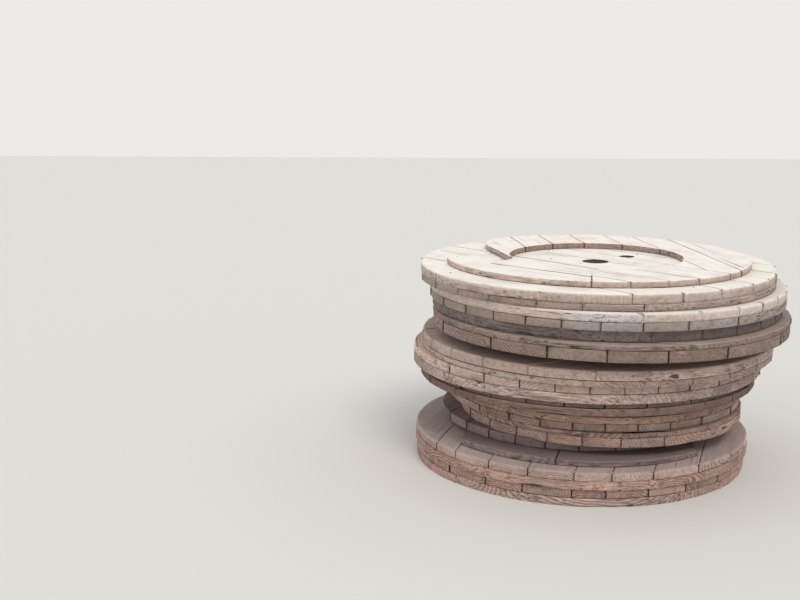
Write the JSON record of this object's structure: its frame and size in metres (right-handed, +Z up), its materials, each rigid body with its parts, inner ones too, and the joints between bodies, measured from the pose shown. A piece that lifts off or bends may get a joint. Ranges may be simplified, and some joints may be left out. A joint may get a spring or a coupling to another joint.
{
  "type": "stack of wooden cable drum flanges",
  "caption": "Stack of round wooden cable-drum flanges lying flat, nailed from crossed plank plies, with barrel rings, a spindle hole and a drive hole.",
  "frame": {"origin": "middle of the bounding box on the floor, under the stack", "axes": "+X to the right and +Y away from the front of the stack, +Z up along the stack"},
  "size_m": [1.476, 1.496, 0.816],
  "materials": {
    "pale_weathered_wood": "sun-bleached sawn softwood, matt",
    "whitish_weathered_wood": "bleached sawn softwood, matt",
    "grey_weathered_wood": "grey-brown weathered sawn softwood, matt",
    "brown_weathered_wood": "brown weathered sawn softwood, matt",
    "dark_stained_wood": "damp, dirt-stained sawn softwood, matt"
  },
  "bodies": {
    "root": {"flange_10_planks": "grey_weathered_wood", "flange_11_barrel_ring": "brown_weathered_wood", "flange_11_lower_planks": "brown_weathered_wood", "flange_11_upper_planks": "brown_weathered_wood", "flange_12_lower_planks": "brown_weathered_wood", "flange_12_upper_planks": "brown_weathered_wood", "flange_1_barrel_ring": "pale_weathered_wood", "flange_1_lower_planks": "grey_weathered_wood", "flange_1_upper_planks": "pale_weathered_wood", "flange_2_lower_planks": "grey_weathered_wood", "flange_2_upper_planks": "whitish_weathered_wood", "flange_3_planks": "dark_stained_wood", "flange_4_lower_planks": "grey_weathered_wood", "flange_4_upper_planks": "grey_weathered_wood", "flange_5_hidden_ring": "dark_stained_wood", "flange_5_lower_planks": "grey_weathered_wood", "flange_5_upper_planks": "grey_weathered_wood", "flange_6_lower_planks": "grey_weathered_wood", "flange_6_upper_planks": "grey_weathered_wood", "flange_7_lower_planks": "brown_weathered_wood", "flange_7_upper_planks": "dark_stained_wood", "flange_8_hidden_ring": "dark_stained_wood", "flange_8_lower_planks": "brown_weathered_wood", "flange_8_upper_planks": "brown_weathered_wood", "flange_9_lower_planks": "brown_weathered_wood", "flange_9_upper_planks": "brown_weathered_wood"}
  },
  "joints": []
}
